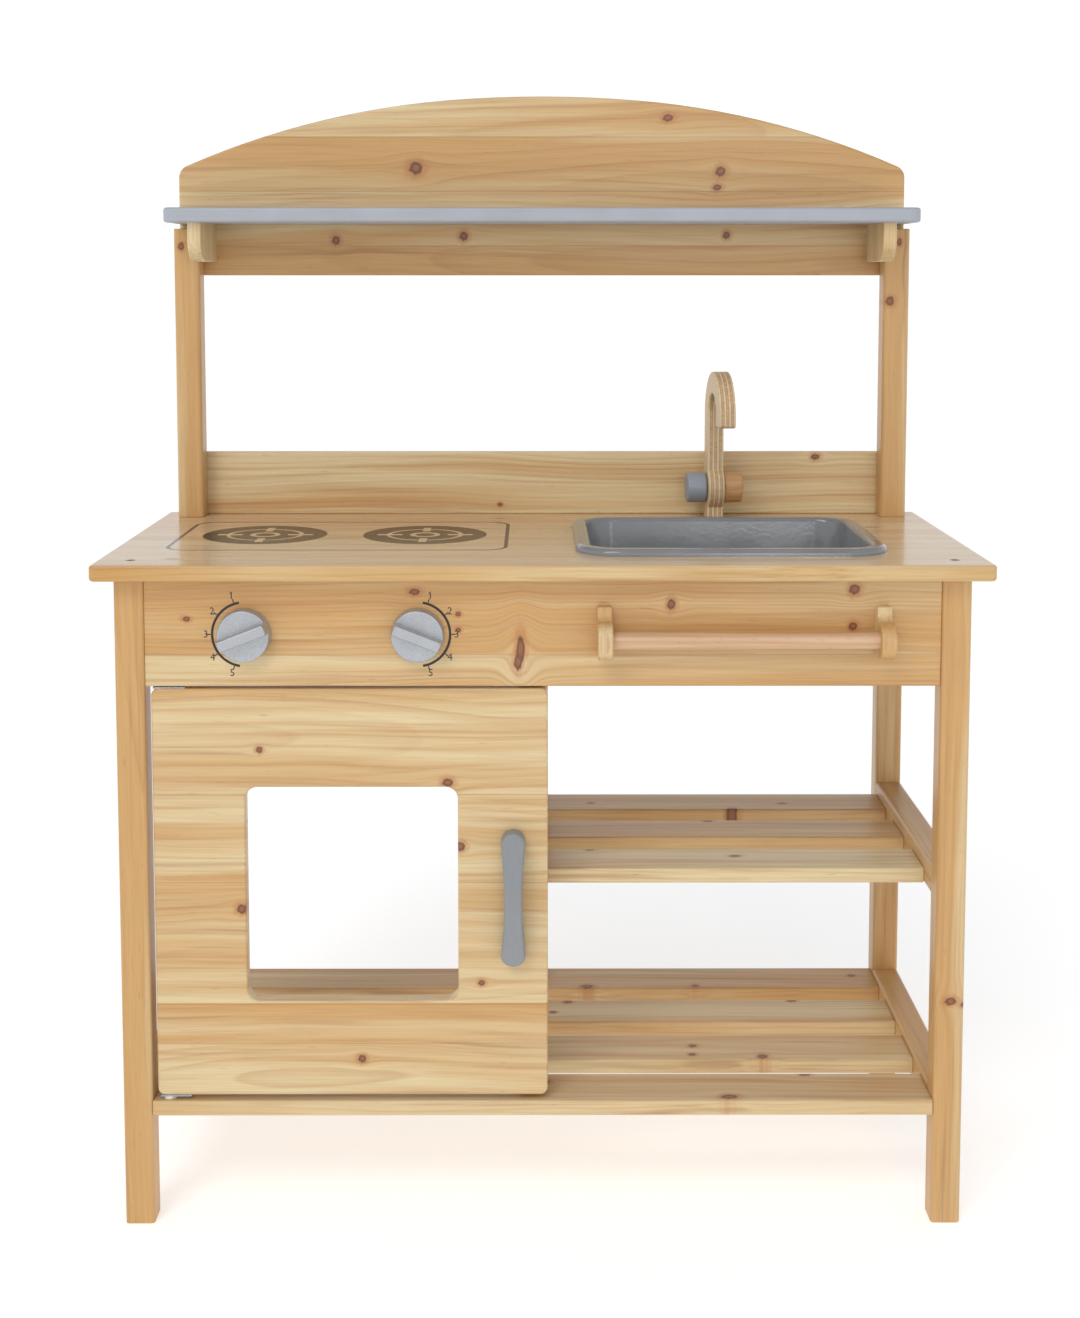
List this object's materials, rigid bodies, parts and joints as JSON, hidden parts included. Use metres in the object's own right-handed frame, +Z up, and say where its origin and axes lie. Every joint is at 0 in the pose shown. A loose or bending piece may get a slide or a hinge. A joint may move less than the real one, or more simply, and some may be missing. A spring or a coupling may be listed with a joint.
{
  "type": "toy kitchen",
  "caption": "Wooden play kitchen with hob, lift-out sink, swivelling tap, turning knobs, hinged oven door, towel rail, open shelves and an arched back board.",
  "frame": {"origin": "centre of the whole box at floor level, under the feet", "axes": "+X to the viewer's right, +Y to the back, +Z up; the front faces -Y"},
  "size_m": [0.72, 0.332, 0.947],
  "materials": {
    "fir": "clear-lacquered knotty fir",
    "fir_varnished": "glossy clear varnish on knotty fir",
    "pale_wood": "smooth pale softwood",
    "beech": "turned beech",
    "birch_plywood": "birch plywood with open edges",
    "grey_paint": "grey-painted wood, satin",
    "basin_grey": "glossy grey",
    "silver_plastic": "satin silver grey",
    "white_plastic": "plain",
    "zinc_steel": "zinc-plated steel"
  },
  "bodies": {
    "cabinet": {"arch_board": "fir", "back_board_screws": "zinc_steel", "barrel_nuts": "zinc_steel", "bottom_side_rail_left": "fir", "bottom_side_rail_right": "fir", "bottom_slat_1": "fir", "bottom_slat_2": "fir", "bottom_slat_3": "fir", "bottom_slat_4": "fir", "catch_screws": "zinc_steel", "cross_bolts": "zinc_steel", "divider_post_front": "fir", "divider_post_rear": "fir", "divider_rail": "fir", "divider_screws": "zinc_steel", "frame_dowels": "beech", "front_apron": "fir", "front_leg_left": "fir", "front_leg_right": "fir", "hinge_bushes": "white_plastic", "magnet_catch": "white_plastic", "mid_side_rail": "fir", "mid_slat_1": "fir", "mid_slat_2": "fir", "mid_slat_3": "fir", "post_bolts": "zinc_steel", "rear_leg_left": "fir", "rear_leg_right": "fir", "rear_rail": "fir", "shelf_bracket_left": "pale_wood", "shelf_bracket_right": "pale_wood", "slat_screws": "zinc_steel", "splashback": "fir", "top_shelf": "grey_paint", "top_side_rail_left": "fir", "top_side_rail_right": "fir", "towel_bracket_left": "pale_wood", "towel_bracket_right": "pale_wood", "towel_bracket_screws": "zinc_steel", "towel_rod": "beech", "upper_post_left": "fir", "upper_post_right": "fir", "worktop": "fir_varnished", "worktop_screws": "zinc_steel"},
    "door": {"door_panel": "fir", "door_handle": "grey_paint", "door_handle_screws": "zinc_steel", "hinge_leaves": "zinc_steel", "hinge_leaf_screws": "zinc_steel", "strike_plate": "zinc_steel"},
    "knob_left": {"knob_left": "silver_plastic", "knob_screw_left": "zinc_steel"},
    "knob_right": {"knob_right": "silver_plastic", "knob_screw_right": "zinc_steel"},
    "tap": {"tap_spout": "birch_plywood", "tap_bolt": "zinc_steel"},
    "tap_handles": {"tap_axle": "beech", "tap_handle_left": "grey_paint", "tap_handle_right": "beech"},
    "basin": {"sink_basin": "basin_grey"}
  },
  "joints": [
    {"name": "door_hinge", "type": "hinge", "parent": "cabinet", "child": "door", "pos_m": [-0.307, -0.1265, 0.2785], "axis": [0, 0, -1], "range_deg": [0, 115]},
    {"name": "knob_left_turn", "type": "hinge", "parent": "cabinet", "child": "knob_left", "pos_m": [-0.2395, -0.134, 0.4925], "axis": [0, -1, 0], "continuous": true},
    {"name": "knob_right_turn", "type": "hinge", "parent": "cabinet", "child": "knob_right", "pos_m": [-0.1005, -0.134, 0.4925], "axis": [0, -1, 0], "continuous": true},
    {"name": "tap_swivel", "type": "hinge", "parent": "cabinet", "child": "tap", "pos_m": [0.1615, 0.1185, 0.551], "axis": [0, 0, 1], "range_deg": [-45, 40]},
    {"name": "tap_handle_turn", "type": "hinge", "parent": "tap", "child": "tap_handles", "pos_m": [0.1615, 0.1185, 0.5805], "axis": [0.9976, 0.0698, 0], "continuous": true},
    {"name": "basin_lift", "type": "slide", "parent": "cabinet", "child": "basin", "axis": [0, 0, 1], "range_m": [0, 0.075]}
  ]
}
